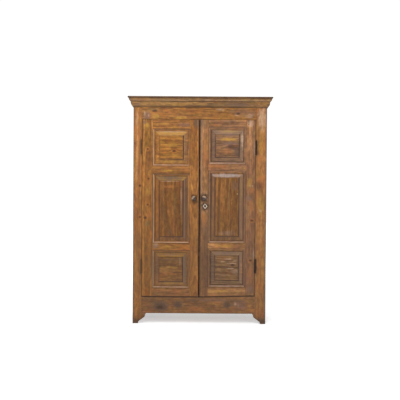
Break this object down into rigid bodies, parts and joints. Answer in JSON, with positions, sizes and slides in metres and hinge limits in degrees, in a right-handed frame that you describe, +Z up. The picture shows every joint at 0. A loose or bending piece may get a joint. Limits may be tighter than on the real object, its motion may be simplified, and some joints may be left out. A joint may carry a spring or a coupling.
{
  "type": "cupboard",
  "caption": "Tall free-standing pine trastero with a stacked cornice, bracket feet and two hinged frame-and-panel doors.",
  "frame": {"origin": "on the floor, under the centre of the cupboard's outline", "axes": "+Z up, doors face -Y, +X to the right as one faces the doors"},
  "size_m": [1.152, 0.476, 1.815],
  "materials": {
    "frame_pine": "old honey brown waxed pine, satin",
    "case_pine": "old honey brown waxed pine, satin",
    "inner_pine": "bare planed pine gone brown with age",
    "back_pine": "rough unfinished pine, matte",
    "cornice_pine": "old honey brown waxed pine, satin",
    "door_pine": "old honey brown waxed pine, satin",
    "panel_pine": "old honey brown waxed pine, satin",
    "peg_wood": "dark end grain",
    "knob_wood": "dark brown turned wood, worn glossy",
    "black_iron": "blackened iron with rust brown wear",
    "bone": "aged bone, satin"
  },
  "bodies": {
    "case": {"left_frame_stile": "frame_pine", "right_frame_stile": "frame_pine", "frame_top_rail": "frame_pine", "apron": "frame_pine", "left_side": "case_pine", "right_side": "case_pine", "bottom_board": "case_pine", "lower_shelf": "inner_pine", "middle_shelf": "inner_pine", "upper_shelf": "inner_pine", "shelf_cleats": "inner_pine", "door_stop_batten": "inner_pine", "back_board_1": "back_pine", "back_board_2": "back_pine", "back_board_3": "back_pine", "back_board_4": "back_pine", "back_board_5": "back_pine", "cornice_lower_front": "cornice_pine", "cornice_lower_left": "cornice_pine", "cornice_lower_right": "cornice_pine", "cornice_upper_front": "cornice_pine", "cornice_upper_left": "cornice_pine", "cornice_upper_right": "cornice_pine", "cap_board_front": "cornice_pine", "cap_board_back": "cornice_pine", "frame_pegs": "peg_wood", "left_hinge_frame_leaves": "black_iron", "right_hinge_frame_leaves": "black_iron", "hinge_pins": "black_iron"},
    "left_door": {"left_door_hinge_stile": "door_pine", "left_door_meeting_stile": "door_pine", "left_door_bottom_rail": "door_pine", "left_door_lower_mid_rail": "door_pine", "left_door_upper_mid_rail": "door_pine", "left_door_top_rail": "door_pine", "left_door_lower_panel": "panel_pine", "left_door_middle_panel": "panel_pine", "left_door_upper_panel": "panel_pine", "left_door_knob": "knob_wood", "left_door_pegs": "peg_wood", "left_door_hinge_leaves": "black_iron", "left_door_strike_plate": "black_iron", "left_door_slide_bolt_plate": "black_iron"},
    "right_door": {"right_door_hinge_stile": "door_pine", "right_door_meeting_stile": "door_pine", "right_door_bottom_rail": "door_pine", "right_door_lower_mid_rail": "door_pine", "right_door_upper_mid_rail": "door_pine", "right_door_top_rail": "door_pine", "right_door_lower_panel": "panel_pine", "right_door_middle_panel": "panel_pine", "right_door_upper_panel": "panel_pine", "right_door_knob": "knob_wood", "right_door_pegs": "peg_wood", "right_door_hinge_leaves": "black_iron", "right_door_escutcheon": "bone", "right_door_lock_case": "black_iron"},
    "slide_bolt": {"slide_bolt": "black_iron"},
    "lock_bolt": {"lock_bolt": "black_iron"}
  },
  "joints": [
    {"name": "left_door_hinge", "type": "hinge", "parent": "case", "child": "left_door", "pos_m": [-0.4685, -0.2015, 0.9], "axis": [0, 0, -1], "range_deg": [0, 175]},
    {"name": "right_door_hinge", "type": "hinge", "parent": "case", "child": "right_door", "pos_m": [0.4495, -0.2015, 0.9], "axis": [0, 0, 1], "range_deg": [0, 175]},
    {"name": "lock_bolt_slide", "type": "slide", "parent": "right_door", "child": "lock_bolt", "axis": [-1, 0, 0], "range_m": [0, 0.018]},
    {"name": "slide_bolt_slide", "type": "slide", "parent": "left_door", "child": "slide_bolt", "axis": [0, 0, 1], "range_m": [0, 0.02]}
  ]
}
